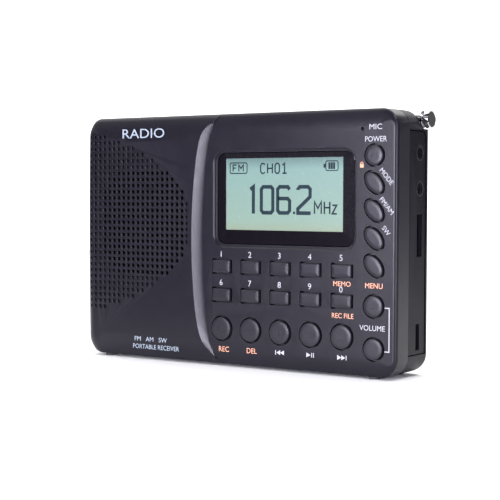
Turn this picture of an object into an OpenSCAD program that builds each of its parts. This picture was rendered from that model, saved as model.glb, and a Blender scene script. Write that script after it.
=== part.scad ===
// Pocket shortwave receiver: two-shell case, keypad, display, speaker, boards, removable
// battery, flip-out stand and telescopic antenna.
// Origin: middle of the base, on the surface the feet stand on. +X right, +Y to the rear, +Z up.

/* [Case] */
// Width of the case
case_w = 120; // [118:1:160]
// Height of the case without its feet
case_h = 79.6; // [79:0.2:110]
// Depth of the case from the control panel to the rear face
case_d = 20; // [20:0.5:28]
// Radius of the case corners, seen from the front
corner_r = 6; // [5:0.5:8]
// Chamfer round the front and rear edges
edge_c = 1.2; // [0.6:0.1:1.4]
// Wall thickness of both shells
wall = 1.6; // [1.5:0.1:2]
// Front wall thickness
front_wall = 1.8; // [1.6:0.1:2]
// Depth of the front cover, from the control panel to the parting line
cover_d = 7.6; // [7.4:0.1:8]
// How far the speaker panel stands proud of the control panel
speaker_rise = 0.7; // [0.4:0.1:1]
// Height of the feet
foot_h = 0.7; // [0.5:0.1:2]
// Diameter of the feet
foot_dia = 3.6; // [3:0.1:5]
// Gap between pieces that sit in each other
fit_gap = 0.1; // [0.05:0.01:0.2]

/* [Speaker] */
// Speaker frame diameter
speaker_dia = 40; // [36:1:40]
// Distance of the grille's centre from the left side
grille_inset = 25.3; // [24:0.1:32]
// Height of the grille's centre above the case bottom
grille_z = 44.65; // [40:0.05:60]
// Distance between grille holes
grille_pitch = 2.04; // [1.9:0.02:2.4]
// Grille hole diameter
grille_hole = 1.25; // [1:0.05:1.5]
// Grille holes each way from the centre
grille_reach = 8; // [4:1:8]

/* [Display] */
// Window width
window_w = 50.3; // [46:0.1:52]
// Window height
window_h = 28.9; // [27:0.1:30]
// Window thickness
window_t = 1; // [0.8:0.1:1.2]
// How far the window lies below the control panel
window_drop = 1; // [0.5:0.1:1.2]
// Distance of the window's centre from the right side
window_inset = 39.75; // [39:0.05:41]
// Height of the window's centre above the case bottom
window_z = 52.8; // [52:0.1:60]
// Display glass thickness
glass_t = 2; // [1.6:0.1:2.2]

/* [Keys] */
// How far the key caps stand proud of the control panel
cap_rise = 0.9; // [0.5:0.1:1.2]
// Key travel
key_travel = 0.7; // [0.3:0.05:0.8]
// Gap all round a key cap
cap_gap = 0.5; // [0.4:0.05:0.7]
// Flange width of a key behind the panel
key_flange = 0.35; // [0.25:0.05:0.45]
// Distance between key columns
key_pitch = 11.05; // [10.8:0.05:11.3]
// Number cap width
number_w = 6.8; // [6:0.1:7.2]
// Number cap height
number_h = 3.95; // [3.5:0.05:4.2]
// Distance of the last key column from the right side
pad_inset = 18.5; // [18.2:0.1:18.8]
// Height of the upper number row above the case bottom
number_z = 31.2; // [31:0.1:31.6]
// Distance between the two number rows
number_pitch = 9.03; // [8.6:0.01:9.4]
// Diameter of the tape-deck key caps
deck_dia = 7.3; // [6.6:0.1:7.6]
// Height of the tape-deck key row above the case bottom
deck_z = 11.4; // [11:0.1:11.8]
// Distance of the side key column from the right side
column_inset = 7.6; // [7.4:0.1:8]
// Power cap diameter
power_dia = 6; // [5.6:0.1:6.4]
// Height of the power key above the case bottom
power_z = 65.7; // [65.4:0.1:66.5]
// Oval cap length
oval_l = 7.6; // [7:0.1:7.8]
// Oval cap width
oval_w = 4.7; // [4.2:0.1:5]
// Tilt of the oval keys
oval_tilt = 47; // [40:1:50]
// Height of the lowest oval key above the case bottom
oval_z = 33.05; // [32.8:0.05:33.5]
// Distance between the oval keys
oval_pitch = 8.18; // [8.1:0.02:8.3]
// Volume cap diameter
volume_dia = 6.4; // [6:0.1:6.6]
// Height of the volume-up key above the case bottom
volume_up_z = 21.1; // [20.8:0.1:21.6]
// Height of the volume-down key above the case bottom
volume_down_z = 8.4; // [8.2:0.1:8.8]

/* [Boards and ports] */
// Circuit board thickness
board_t = 1.2; // [0.8:0.1:1.6]
// Distance of the jack axes from the rear face
port_y = 5.4; // [5.4:0.1:6]
// Jack bore diameter
jack_bore = 3.6; // [3.5:0.05:3.8]
// Jack collar diameter
jack_collar = 4.8; // [4.6:0.1:5.2]
// Height of the upper jack above the case bottom
jack_1_z = 66.5; // [66:0.1:67]
// Height of the lower jack above the case bottom
jack_2_z = 55.8; // [55:0.1:56.5]
// Height of the middle of the card slot above the case bottom
card_z = 41.9; // [41:0.1:43]
// Height of the middle of the charging port above the case bottom
usb_z = 11.3; // [11:0.1:12]

/* [Battery and stand] */
// Battery width
battery_w = 53; // [48:0.5:54]
// Battery height
battery_h = 34; // [32:0.5:35]
// Battery thickness
battery_t = 5.6; // [5:0.1:5.8]
// Battery door thickness
door_t = 1; // [0.8:0.1:1.2]
// Stand width
stand_w = 28; // [20:1:30]
// Stand length from its hinge to its free end
stand_l = 44; // [30:1:48]
// Stand thickness
stand_t = 1.6; // [1.2:0.1:1.8]
// Stand hinge pin diameter
stand_pin = 1.8; // [1.4:0.1:2]

/* [Antenna] */
// Outer tube diameter
antenna_dia = 5.2; // [4.6:0.1:5.4]
// Tube wall thickness
antenna_wall = 0.3; // [0.25:0.01:0.35]
// Radial clearance of every running fit
run_gap = 0.08; // [0.05:0.01:0.1]
// Travel of each telescopic section
antenna_travel = 94; // [60:1:96]
// Distance of the antenna's swivel axis from the left side
swivel_inset = 7; // [6.5:0.1:8]
// Antenna knob diameter
knob_dia = 5.4; // [5:0.1:6]

/* [Hidden] */
$fn = 48;

PLASTIC = [0.27, 0.265, 0.29];
PANEL = [0.35, 0.34, 0.37];
CHROME = [0.8, 0.8, 0.82];
EPS = 0.01;

// Faces of the case
left_x = -case_w / 2;
right_x = case_w / 2;
front_y = -case_d / 2;
rear_y = case_d / 2;
base_z = foot_h;
top_z = foot_h + case_h;
mid_z = foot_h + case_h / 2;
part_y = front_y + cover_d;
inner_y = front_y + front_wall;
inner_rear_y = rear_y - wall;

// Keys: flange behind the front wall, stem back to just short of the switch at full travel
flange_y = inner_y + fit_gap;
flange_t = 0.9;
switch_h = 1.5;
board_y = front_y + 6.7;
stem_end_y = board_y - switch_h - key_travel - fit_gap;
key_rows = [number_z + base_z, number_z - number_pitch + base_z];
pad_x = right_x - pad_inset;
column_x = right_x - column_inset;
window_x = right_x - window_inset;
window_mid_z = base_z + window_z;
speaker_x = left_x + grille_inset;
speaker_z = base_z + grille_z;

// Depth stack behind the window
window_y = front_y + window_drop;
ledge_t = 1;
glass_y = window_y + window_t + ledge_t + fit_gap;
backlight_y = glass_y + glass_t + fit_gap;
lit_w = 43.6;
lit_h = 22.8;
lit_x = window_x - 1;
lit_z = window_mid_z + 1.4;

// Ports on the right side
jack_y = rear_y - port_y;
plate_t = wall;
plate_x = right_x - plate_t;
plate_lo = base_z + 5.9;
plate_rear = rear_y - edge_c - 0.4;
plate_r = 2.5;
main_y = jack_y - 2.6;
jack_size = 5.2;

// Screws and posts: case screws join the shells, board screws hold the two boards
boss_r = 2.2;
screw_r = 0.8;
head_r = 1.9;
case_bosses = [
    [left_x + 5, base_z + 5],
    [speaker_x + 23.9, base_z + 4.9],
    [right_x - 13.6, base_z + 4.5],
    [left_x + 5, base_z + 66],
    [speaker_x + 23.9, top_z - 8.6],
    [right_x - 17.5, window_mid_z + 18.4]
];
post_r = 1.4;
front_posts = [
    [pad_x - 3.5 * key_pitch, base_z + 3.6],
    [pad_x - 1.5 * key_pitch, base_z + 3.6],
    [window_x - 24.5, window_mid_z + 19.2],
    [window_x + 5, window_mid_z + 19.2]
];
rear_posts = [
    [right_x - 51.3, base_z + 60],
    [right_x - 16, base_z + 61],
    [right_x - 51.3, base_z + 8],
    [right_x - 10.5, base_z + 26]
];

// Battery bay, open to the rear under its door
bay_gap = 0.3;
bay_wall = 1.2;
battery_x = left_x + 8 + battery_w / 2;
battery_z = base_z + 8.2 + battery_h / 2;
battery_rear = rear_y - door_t - fit_gap;
battery_front = battery_rear - battery_t;
bay_floor_y = battery_front - bay_gap;
door_lip = 1.6;

// Stand, folded flat into a recess of the rear face
stand_x = right_x - 32.5;
stand_gap = 0.35;
stand_axis_y = rear_y - 1.9;
stand_axis_z = base_z + 8 + stand_l;
stand_barrel_r = 1.4;
stand_rear = rear_y - 0.2;
stand_floor_y = stand_rear - stand_t - stand_gap;
cheek = 2;

// Antenna, in a channel along the top rear edge
antenna_r = antenna_dia / 2;
channel_gap = 0.25;
antenna_y = rear_y - max(antenna_dia, knob_dia) / 2;
antenna_z = top_z - antenna_r - 0.25;
channel_r = antenna_r + channel_gap;
plate_hi = antenna_z - channel_r - 0.5;
channel_floor = 1.5;
rib_y = antenna_y - channel_r - channel_floor;
rib_z = antenna_z - channel_r - channel_floor;
swivel_x = left_x + swivel_inset;
swivel_r = 2.6;
stud_r = 1.4;
stud_head_r = 1.95;
hinge_r = 0.8;
eye_t = 2.4;
eye_r = 2;
tube_x = swivel_x + 3.4;
tube_end = right_x - 0.6;
section_step = antenna_wall + run_gap;
lip = 0.2;
plug = 2;

// Extrude a shape drawn in X and Z from y0 to y1
module along_y(y0, y1) {
    translate([0, y1, 0])
        rotate([90, 0, 0])
            linear_extrude(y1 - y0)
                children();
}

// Extrude a shape drawn in Y and Z from x0 to x1
module along_x(x0, x1) {
    translate([x0, 0, 0])
        rotate([90, 0, 90])
            linear_extrude(x1 - x0)
                children();
}

// Box between two corners
module block(lo, hi) {
    translate(lo)
        cube(hi - lo);
}

// Cylinder along Y
module rod_y(x, z, r, y0, y1) {
    translate([x, y0, z])
        rotate([-90, 0, 0])
            cylinder(r = r, h = y1 - y0);
}

// Cylinder along X
module rod_x(y, z, r, x0, x1) {
    translate([x0, y, z])
        rotate([0, 90, 0])
            cylinder(r = r, h = x1 - x0);
}

// Rectangle with round corners, centred
module round_rect(w, h, r) {
    difference() {
        square([w, h], center = true);
        for (sx = [-1, 1])
            for (sz = [-1, 1])
                translate([sx * (w / 2 - r), sz * (h / 2 - r)])
                    difference() {
                        translate([sx > 0 ? 0 : -r - 1, sz > 0 ? 0 : -r - 1])
                            square(r + 1);
                        circle(r);
                    }
    }
}

// Case outline, smaller by an inset
module outline(inset) {
    translate([0, mid_z])
        round_rect(case_w - 2 * inset, case_h - 2 * inset, corner_r - inset);
}

// Chamfered plate of the case outline: the chamfer runs from y0, the flat face, to y0 + s
module chamfered(y0, y1) {
    s = y1 > y0 ? 1 : -1;
    steps = 3;
    for (k = [0 : steps - 1]) {
        inset = edge_c * (1 - sin(90 * (k + 1) / (steps + 1)));
        from = y0 + s * edge_c * (1 - cos(90 * (k + 0.5) / (steps + 1)));
        along_y(min(from, y1), max(from, y1))
            outline(inset);
    }
    along_y(min(y0 + s * edge_c, y1), max(y0 + s * edge_c, y1))
        outline(0);
}

// Oval, tilted so that its long axis falls to the right
module oval(grow) {
    a = oval_l / 2 + grow;
    b = oval_w / 2 + grow;
    rotate(-oval_tilt)
        polygon([for (t = [0 : 9 : 351]) [a * cos(t), b * sin(t)]]);
}

// Cap outlines, each grown by a margin
module number_shape(grow) {
    square([number_w + 2 * grow, number_h + 2 * grow], center = true);
}

module deck_shape(grow) {
    circle(d = deck_dia + 2 * grow);
}

module power_shape(grow) {
    circle(d = power_dia + 2 * grow);
}

module volume_shape(grow) {
    circle(d = volume_dia + 2 * grow);
}

// Every key's hole in the front cover
module key_holes() {
    for (row = key_rows)
        for (k = [0 : 4])
            translate([pad_x - k * key_pitch, row])
                number_shape(cap_gap);
    for (k = [0 : 4])
        translate([pad_x - k * key_pitch, base_z + deck_z])
            deck_shape(cap_gap);
    translate([column_x, base_z + power_z])
        power_shape(cap_gap);
    for (k = [0 : 3])
        translate([column_x, base_z + oval_z + k * oval_pitch])
            oval(cap_gap);
    for (z = [volume_up_z, volume_down_z])
        translate([column_x, base_z + z])
            volume_shape(cap_gap);
}

// Round pattern of grille holes
module grille_holes() {
    for (i = [-grille_reach : grille_reach])
        for (j = [-grille_reach : grille_reach])
            if (i * i + j * j < 90)
                translate([speaker_x + i * grille_pitch, speaker_z + j * grille_pitch])
                    circle(d = grille_hole, $fn = 16);
}

module front_cover() {
    color(PANEL)
        difference() {
            union() {
                difference() {
                    union() {
                        chamfered(front_y, part_y);
                        speaker_panel();
                    }
                    along_y(inner_y, part_y + EPS)
                        outline(wall);
                }
                cover_ribs();
            }
            along_y(front_y - 2, inner_y + EPS)
                key_holes();
            along_y(front_y - 2, inner_y + EPS)
                grille_holes();
            along_y(front_y - EPS, window_y + window_t)
                translate([window_x, window_mid_z])
                    round_rect(window_w + 2 * fit_gap, window_h + 2 * fit_gap, 3);
            along_y(front_y, glass_y)
                translate([lit_x, lit_z])
                    square([lit_w, lit_h], center = true);
            rod_y(mic_x, mic_z, 0.5, front_y - EPS, inner_y + 1);
            rod_y(mic_x, mic_z, mic_r + fit_gap, inner_y, inner_y + 3);
            for (p = case_bosses)
                rod_y(p[0], p[1], screw_r, inner_y + 0.6, part_y + EPS);
            for (p = front_posts)
                rod_y(p[0], p[1], screw_r, inner_y + 0.6, board_y + EPS);
        }
}

// Proud panel over the speaker, with a sloping crescent down to the control panel
module speaker_panel() {
    crescent_r = case_h * 1.9;
    crescent_x = speaker_x + 20.3 + crescent_r;
    slope = 3.6;
    difference() {
        along_y(front_y - speaker_rise, front_y + edge_c)
            intersection() {
                outline(edge_c);
                translate([left_x, 0])
                    square([crescent_x - left_x - crescent_r + slope, top_z]);
            }
        translate([crescent_x, front_y, mid_z])
            rotate([90, 0, 0])
                cylinder(r1 = crescent_r - slope, r2 = crescent_r, h = speaker_rise, $fn = 96);
    }
}

// Bosses, posts, the speaker ring, the display frame and the microphone ring
module cover_ribs() {
    for (p = case_bosses)
        rod_y(p[0], p[1], boss_r, inner_y - EPS, part_y);
    for (p = front_posts)
        rod_y(p[0], p[1], post_r, inner_y - EPS, board_y);
    difference() {
        rod_y(speaker_x, speaker_z, speaker_dia / 2 + fit_gap + 1.2, inner_y - EPS, inner_y + 2.4);
        rod_y(speaker_x, speaker_z, speaker_dia / 2 + fit_gap, inner_y - 1, inner_y + 3);
    }
    along_y(inner_y - EPS, window_y + window_t + ledge_t)
        translate([window_x, window_mid_z])
            round_rect(window_w + 2.4, window_h + 2, 3.5);
    rod_y(mic_x, mic_z, mic_r + fit_gap + 0.8, inner_y - EPS, inner_y + 1.6);
}

mic_x = right_x - 11.8;
mic_z = top_z - 6;
mic_r = 2;

// Antenna channel: round seat at the lower front, open to the top and the rear
module antenna_channel(y_past, z_past) {
    rod_x(antenna_y, antenna_z, channel_r, left_x - 1, right_x + 1);
    block([left_x - 1, antenna_y, antenna_z - channel_r], [right_x + 1, y_past, z_past]);
    block([left_x - 1, antenna_y - channel_r, antenna_z], [right_x + 1, y_past, z_past]);
    translate([swivel_x, antenna_y, antenna_z - channel_r])
        cylinder(r = swivel_r + 0.3, h = 2 * channel_r + 2);
}

module back_shell() {
    color(PLASTIC)
        difference() {
            union() {
                difference() {
                    chamfered(rear_y, part_y);
                    along_y(part_y - EPS, inner_rear_y)
                        outline(wall);
                }
                shell_ribs();
            }
            antenna_channel(rear_y + 1, top_z + 1);
            translate([swivel_x, antenna_y, rib_z - 1])
                cylinder(r = stud_r + run_gap, h = channel_floor + 2);
            translate([swivel_x, antenna_y, rib_z - 4])
                cylinder(r = stud_head_r + 0.25, h = 4);
            battery_opening();
            stand_recess();
            along_x(plate_x - 1, right_x + 1)
                plate_outline(0);
            for (p = case_bosses) {
                rod_y(p[0], p[1], screw_r + 0.15, part_y - EPS, rear_y + 1);
                rod_y(p[0], p[1], head_r + 0.2, rear_y - 2.2, rear_y + 1);
            }
            for (p = rear_posts)
                rod_y(p[0], p[1], screw_r, main_y, main_y + 4.4);
        }
}

// Inner walls of the back shell: antenna rib, battery bay, stand pocket, ferrite rod cradles,
// bosses and posts
module shell_ribs() {
    intersection() {
        block([left_x, rib_y, rib_z], [right_x, rear_y, top_z]);
        chamfered(rear_y, part_y);
    }
    for (p = case_bosses)
        rod_y(p[0], p[1], boss_r, part_y, rear_y - edge_c);
    for (p = rear_posts)
        rod_y(p[0], p[1], post_r, main_y, rear_y - 1);
    m = bay_gap + bay_wall;
    block([battery_x - battery_w / 2 - m, bay_floor_y - 0.8, battery_z - battery_h / 2 - m],
        [battery_x + battery_w / 2 + m, rear_y - 0.5, battery_z + battery_h / 2 + m]);
    for (x = [rod_mid_x - 22, rod_mid_x + 16])
        difference() {
            block([x - 1, rod_mid_y, rod_mid_z - rod_r - 1], [x + 1, rear_y - 1, rod_mid_z + rod_r + 1]);
            rod_x(rod_mid_y, rod_mid_z, rod_r, x - 2, x + 2);
        }
    block([stand_x - stand_w / 2 - stand_gap - cheek, stand_axis_y - 2.1, stand_axis_z - stand_l - 1.6],
        [stand_x + stand_w / 2 + stand_gap + cheek, rear_y - 0.5, stand_axis_z + 4]);
}

// Battery bay with the wider seat of its door
module battery_opening() {
    block([battery_x - battery_w / 2 - bay_gap, bay_floor_y, battery_z - battery_h / 2 - bay_gap],
        [battery_x + battery_w / 2 + bay_gap, rear_y + 1, battery_z + battery_h / 2 + bay_gap]);
    along_y(rear_y - door_t, rear_y + 1)
        translate([battery_x, battery_z])
            round_rect(battery_w + 2 * (door_lip + fit_gap), battery_h + 2 * (door_lip + fit_gap), 2);
}

// Recess for the folded stand, with its hinge bores and a finger notch at the free end
module stand_recess() {
    half = stand_w / 2 + stand_gap;
    block([stand_x - half, stand_floor_y, stand_axis_z - stand_l - stand_gap],
        [stand_x + half, rear_y + 1, stand_axis_z + 2.6]);
    block([stand_x - half, stand_axis_y - 1.75, stand_axis_z - 1.9],
        [stand_x + half, rear_y + 1, stand_axis_z + 2.6]);
    rod_x(stand_axis_y, stand_axis_z, stand_pin / 2 + run_gap,
        stand_x - half - 1.4, stand_x + half + 1.4);
    rod_y(stand_x, stand_axis_z - stand_l, 5, stand_floor_y, rear_y + 1);
}

// Port plate outline in Y and Z: square, with a round upper rear corner
module plate_outline(inset) {
    front = part_y + (inset > 0 ? inset : -1);
    translate([plate_rear - plate_r, plate_hi - plate_r])
        circle(r = plate_r - inset);
    translate([front, plate_lo + inset])
        square([plate_rear - plate_r - front, plate_hi - plate_lo - 2 * inset]);
    translate([front, plate_lo + inset])
        square([plate_rear - inset - front, plate_hi - plate_lo - plate_r - inset]);
}

module side_port_plate() {
    color(PLASTIC)
        difference() {
            union() {
                along_x(plate_x, right_x - 0.2)
                    plate_outline(fit_gap);
                for (z = [card_z + base_z + 9, usb_z + base_z + 10])
                    block([plate_x - 1, part_y + 2, z - 1], [plate_x + EPS, main_y - 1, z + 1]);
            }
            for (z = [jack_1_z, jack_2_z])
                rod_x(jack_y, base_z + z, jack_collar / 2 + fit_gap, plate_x - 1, right_x + 1);
            block([plate_x - 1, main_y + 0.9, base_z + card_z - 6.4],
                [right_x + 1, main_y + 4, base_z + card_z + 6.4]);
            block([plate_x - 1, main_y + 0.5, base_z + usb_z - 3.95],
                [right_x + 1, main_y + 2.75, base_z + usb_z + 3.95]);
        }
}

module battery_door() {
    color(PLASTIC)
        difference() {
            along_y(rear_y - door_t, rear_y)
                translate([battery_x, battery_z])
                    round_rect(battery_w + 2 * door_lip, battery_h + 2 * door_lip, 1.9);
            for (k = [-2 : 2])
                block([battery_x + battery_w / 2 - 8, rear_y - 0.3, battery_z + k * 2.4 - 0.5],
                    [battery_x + battery_w / 2 - 2, rear_y + 1, battery_z + k * 2.4 + 0.5]);
        }
}

module kickstand() {
    color(PLASTIC)
        union() {
            difference() {
                block([stand_x - stand_w / 2, stand_rear - stand_t, stand_axis_z - stand_l],
                    [stand_x + stand_w / 2, stand_rear, stand_axis_z + 0.6]);
                block([stand_x - stand_w / 2 + 6, stand_rear - stand_t - 1, stand_axis_z - stand_l + 9],
                    [stand_x + stand_w / 2 - 6, stand_rear - 0.8, stand_axis_z - 8]);
            }
            rod_x(stand_axis_y, stand_axis_z, stand_barrel_r, stand_x - stand_w / 2, stand_x + stand_w / 2);
            rod_x(stand_axis_y, stand_axis_z, stand_pin / 2,
                stand_x - stand_w / 2 - 1.4, stand_x + stand_w / 2 + 1.4);
        }
}

module display_window() {
    color([0.1, 0.09, 0.12])
        along_y(window_y, window_y + window_t)
            translate([window_x, window_mid_z])
                round_rect(window_w, window_h, 2.9);
}

module lcd_glass() {
    color([0.65, 0.78, 0.76])
        block([lit_x - lit_w / 2 - 1.5, glass_y, lit_z - lit_h / 2 - 2],
            [lit_x + lit_w / 2 + 1.5, glass_y + glass_t, lit_z + lit_h / 2 + 1.2]);
}

module lcd_backlight() {
    color([0.95, 0.96, 0.94])
        block([lit_x - lit_w / 2 - 1.5, backlight_y, lit_z - lit_h / 2 - 2],
            [lit_x + lit_w / 2 + 1.5, board_y - fit_gap, lit_z + lit_h / 2 + 1.2]);
}

module key_board() {
    color([0.12, 0.35, 0.2])
        difference() {
            along_y(board_y, board_y + board_t)
                intersection() {
                    outline(wall + 0.6);
                    translate([pad_x - 4 * key_pitch - 5.8, 0])
                        square([case_w, top_z]);
                }
            for (p = case_bosses)
                rod_y(p[0], p[1], boss_r + 0.4, board_y - 1, board_y + 3);
            for (p = front_posts)
                rod_y(p[0], p[1], screw_r + 0.1, board_y - 1, board_y + 3);
        }
}

// Centres of all keys, in the order of their names
function key_places() = concat(
    [for (row = key_rows) for (k = [4 : -1 : 0]) [pad_x - k * key_pitch, row]],
    [for (k = [4 : -1 : 0]) [pad_x - k * key_pitch, base_z + deck_z]],
    [[column_x, base_z + power_z]],
    [for (k = [3 : -1 : 0]) [column_x, base_z + oval_z + k * oval_pitch]],
    [[column_x, base_z + volume_up_z], [column_x, base_z + volume_down_z]]
);

// One tactile switch behind each key
module key_switches() {
    color([0.2, 0.2, 0.2])
        for (p = key_places()) {
            block([p[0] - 1.6, board_y - 0.9, p[1] - 1.6], [p[0] + 1.6, board_y, p[1] + 1.6]);
            rod_y(p[0], p[1], 0.8, board_y - switch_h, board_y - 0.9 + EPS);
        }
}

module main_board() {
    color([0.12, 0.35, 0.2])
        difference() {
            block([right_x - 54.5, main_y - board_t, base_z + 6],
                [plate_x - 1.4, main_y, base_z + 70]);
            for (p = rear_posts)
                rod_y(p[0], p[1], screw_r + 0.1, main_y - board_t - 1, main_y + 1);
            for (p = case_bosses)
                rod_y(p[0], p[1], boss_r + 0.4, main_y - 3, main_y + 1);
        }
}

// Tuner chip, processor, amplifier, crystal and the header that links the two boards
module board_components() {
    color([0.15, 0.15, 0.16]) {
        chip(right_x - 40, base_z + 44, 7, 7, 0.9);
        chip(right_x - 26, base_z + 40, 10, 10, 1.1);
        chip(right_x - 44, base_z + 24, 5, 4, 1);
        chip(right_x - 30, base_z + 58, 3.4, 8, 1.2);
        block([right_x - 46, board_y + board_t, base_z + 63.5],
            [right_x - 26, main_y - board_t, base_z + 66]);
    }
}

// Flat component on the front face of the main board
module chip(x, z, w, h, t) {
    block([x - w / 2, main_y - board_t - t, z - h / 2], [x + w / 2, main_y - board_t, z + h / 2]);
}

cloth_t = 0.3;
speaker_y = inner_y + cloth_t;

module speaker_cloth() {
    color([0.08, 0.08, 0.08])
        rod_y(speaker_x, speaker_z, speaker_dia / 2 - 0.5, inner_y, speaker_y);
}

// Frame: flange ring and a conical basket down to the magnet
module speaker_frame() {
    r = speaker_dia / 2;
    color([0.6, 0.6, 0.62])
        translate([speaker_x, speaker_y, speaker_z])
            rotate([-90, 0, 0])
                rotate_extrude()
                    polygon([[r - 2, 0], [r, 0], [r, 1], [r - 1.6, 1], [9.4, 3.8], [4, 3.8],
                        [4, 3.2], [9, 3.2], [r - 2, 0.6]]);
}

module speaker_cone() {
    r = speaker_dia / 2 - 2;
    color([0.1, 0.1, 0.1])
        translate([speaker_x, speaker_y, speaker_z])
            rotate([-90, 0, 0])
                rotate_extrude()
                    polygon([[0, 1.2], [5, 1.8], [r, 0.2], [r, 0.5], [5, 2.3], [0, 1.7]]);
}

module speaker_magnet() {
    color([0.5, 0.5, 0.52])
        rod_y(speaker_x, speaker_z, 9, speaker_y + 3.8, speaker_y + 7.4);
}

module battery() {
    color([0.75, 0.75, 0.78])
        block([battery_x - battery_w / 2, battery_front, battery_z - battery_h / 2],
            [battery_x + battery_w / 2, battery_rear, battery_z + battery_h / 2]);
}

// Three contact strips through the wall of the bay that faces the main board
module battery_contacts() {
    x = battery_x + battery_w / 2;
    color([0.85, 0.7, 0.3])
        for (k = [-1 : 1])
            block([x, battery_front + 1.6, battery_z + 4 * k - 0.8],
                [x + bay_gap, battery_front + 3.6, battery_z + 4 * k + 0.8]);
}

// Jack with a hollow barrel whose collar shows in the side plate
module jack(z) {
    difference() {
        union() {
            block([plate_x - 11.5, jack_y - 2.6, base_z + z - 3], [plate_x, jack_y + 2.6, base_z + z + 3]);
            rod_x(jack_y, base_z + z, jack_collar / 2, plate_x - EPS, right_x - 0.2);
        }
        rod_x(jack_y, base_z + z, jack_bore / 2, right_x - 12.2, right_x + 1);
    }
}

module headphone_jack() {
    color([0.1, 0.1, 0.1]) jack(jack_1_z);
}

module line_in_jack() {
    color([0.1, 0.1, 0.1]) jack(jack_2_z);
}

module card_socket() {
    color(CHROME)
        difference() {
            block([plate_x - 13.5, main_y, base_z + card_z - 7], [plate_x, main_y + 3.4, base_z + card_z + 7]);
            block([plate_x - 12.5, main_y + 1.5, base_z + card_z - 5.8],
                [plate_x + 1, main_y + 2.7, base_z + card_z + 5.8]);
        }
}

module usb_socket() {
    color(CHROME)
        difference() {
            block([plate_x - 6, main_y, base_z + usb_z - 4.3],
                [plate_x, main_y + 3.2, base_z + usb_z + 4.3]);
            difference() {
                block([plate_x - 5.2, main_y + 0.6, base_z + usb_z - 3.8],
                    [plate_x + 1, main_y + 2.6, base_z + usb_z + 3.8]);
                block([plate_x - 6, main_y + 1.2, base_z + usb_z - 2.6],
                    [plate_x - 0.8, main_y + 1.8, base_z + usb_z + 2.6]);
            }
        }
}

module microphone() {
    color([0.7, 0.7, 0.7])
        rod_y(mic_x, mic_z, mic_r, inner_y, inner_y + 2.2);
}

rod_mid_x = speaker_x + 11;
rod_mid_z = speaker_z + 20.6;
rod_r = 2.6;
rod_mid_y = rear_y - 5;

module ferrite_rod() {
    color([0.25, 0.25, 0.27])
        rod_x(rod_mid_y, rod_mid_z, rod_r, rod_mid_x - 26, rod_mid_x + 20);
}

module ferrite_coil() {
    color([0.7, 0.42, 0.2])
        difference() {
            rod_x(rod_mid_y, rod_mid_z, rod_r + 0.6, rod_mid_x - 9, rod_mid_x + 7);
            rod_x(rod_mid_y, rod_mid_z, rod_r, rod_mid_x - 10, rod_mid_x + 8);
        }
}

// Countersunk screws from the rear shell into the front cover's bosses
module case_screws() {
    color(CHROME)
        for (p = case_bosses) {
            rod_y(p[0], p[1], screw_r, inner_y + 1, rear_y - 2.2 + EPS);
            difference() {
                rod_y(p[0], p[1], head_r, rear_y - 2.2, rear_y - 1.2);
                block([p[0] - 1.2, rear_y - 1.6, p[1] - 0.2], [p[0] + 1.2, rear_y, p[1] + 0.2]);
                block([p[0] - 0.2, rear_y - 1.6, p[1] - 1.2], [p[0] + 0.2, rear_y, p[1] + 1.2]);
            }
        }
}

module board_screws() {
    color(CHROME) {
        for (p = front_posts) {
            rod_y(p[0], p[1], screw_r, inner_y + 1, board_y + board_t + EPS);
            rod_y(p[0], p[1], 1.4, board_y + board_t, board_y + board_t + 0.8);
        }
        for (p = rear_posts) {
            rod_y(p[0], p[1], screw_r, main_y - board_t - EPS, main_y + 4);
            rod_y(p[0], p[1], 1.4, main_y - board_t - 0.8, main_y - board_t);
        }
    }
}

module feet() {
    color([0.08, 0.08, 0.08])
        for (x = [left_x + 8.7, right_x - 8.7])
            for (y = [front_y + 3, rear_y - 3.2])
                translate([x, y, 0])
                    cylinder(d = foot_dia, h = foot_h);
}

// Plate under the channel floor that steadies the swivel stud
module antenna_bracket() {
    color(CHROME)
        difference() {
            block([swivel_x - 4, rib_y + 0.6, rib_z - 1], [swivel_x + 9, inner_rear_y, rib_z]);
            translate([swivel_x, antenna_y, rib_z - 2])
                cylinder(r = stud_r + run_gap, h = 3);
        }
}

swivel_floor = antenna_z - channel_r + 0.15;
stud_end = rib_z - 1.1;

// Swivel: stud through the channel floor and a fork for the antenna's eye
module antenna_swivel() {
    color(CHROME)
        difference() {
            union() {
                translate([swivel_x, antenna_y, stud_end])
                    cylinder(r = stud_r, h = swivel_floor - stud_end + EPS);
                intersection() {
                    translate([swivel_x, antenna_y, swivel_floor])
                        cylinder(r = swivel_r, h = 8);
                    union() {
                        rod_y(swivel_x, antenna_z, 2.5, antenna_y - 4, antenna_y + 4);
                        block([swivel_x - 2.5, antenna_y - 4, swivel_floor],
                            [swivel_x + 2.5, antenna_y + 4, antenna_z]);
                    }
                }
            }
            block([swivel_x - 5, antenna_y - eye_t / 2 - 0.1, antenna_z - eye_r - 0.2],
                [swivel_x + 5, antenna_y + eye_t / 2 + 0.1, antenna_z + 5]);
            rod_y(swivel_x, antenna_z, hinge_r, antenna_y - 5, antenna_y + 5);
        }
}

// Screw that holds the stud up from below the bracket
module antenna_screw() {
    color(CHROME)
        translate([swivel_x, antenna_y, stud_end - 1.2])
            cylinder(r = stud_head_r, h = 1.2);
}

module antenna_hinge_pin() {
    color(CHROME)
        rod_y(swivel_x, antenna_z, hinge_r, antenna_y - 2.5, antenna_y + 2.5);
}

// Outer radius of telescopic section n, counted from 0 at the outside
function section_r(n) = antenna_r - n * section_step;

// Inner end of telescopic section n, beyond the plug of the outer one
function section_start(n) = n == 0 ? tube_x : tube_x + plug + n * lip;

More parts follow.
